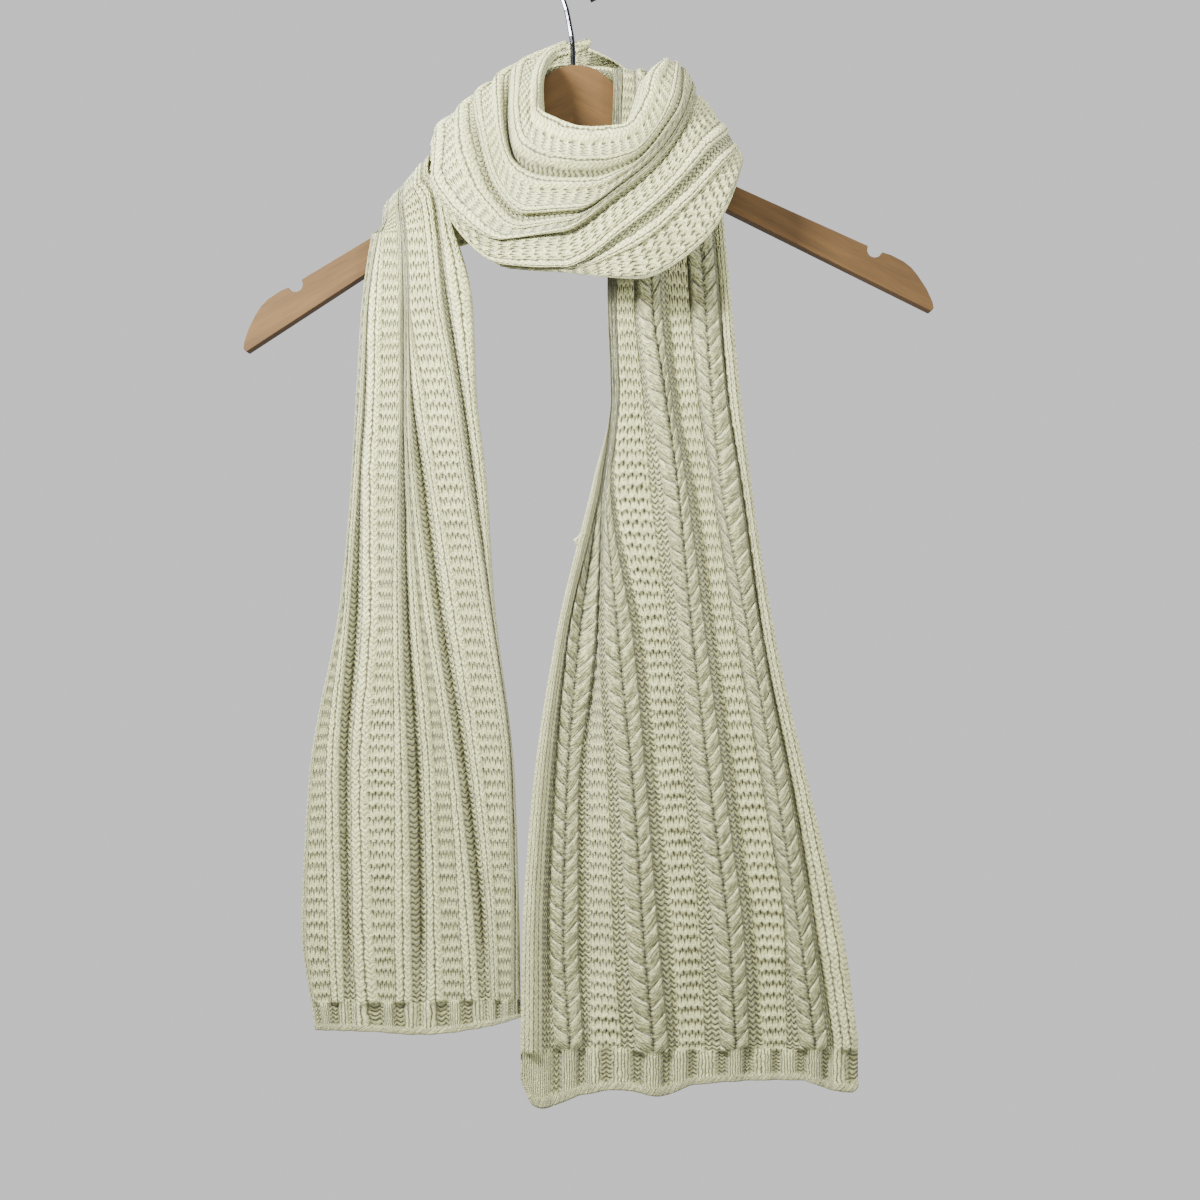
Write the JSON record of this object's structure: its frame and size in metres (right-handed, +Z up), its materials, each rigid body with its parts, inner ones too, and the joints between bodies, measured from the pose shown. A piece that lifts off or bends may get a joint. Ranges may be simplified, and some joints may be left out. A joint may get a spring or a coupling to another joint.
{
  "type": "knit scarf on hanger",
  "caption": "Long cabled knit scarf wound once round the neck of a wooden clothes hanger, both ends hanging in front.",
  "frame": {"origin": "underside of the hook's bend, where the hanger rests on its peg or rail", "axes": "+Z up, the front of the scarf faces -Y, +X to the right as seen from the front"},
  "size_m": [0.442, 0.1011, 0.7431],
  "materials": {
    "cream_yarn": "soft undyed wool yarn, matt, slightly hairy",
    "beech": "satin varnished beech",
    "chrome_wire": "bright plated steel wire"
  },
  "bodies": {
    "root": {"tail_right": "cream_yarn", "tail_left": "cream_yarn", "front_wrap": "cream_yarn", "inner_wrap": "cream_yarn", "back_wrap": "cream_yarn", "hanger_wood": "beech", "hook": "chrome_wire"}
  },
  "joints": []
}
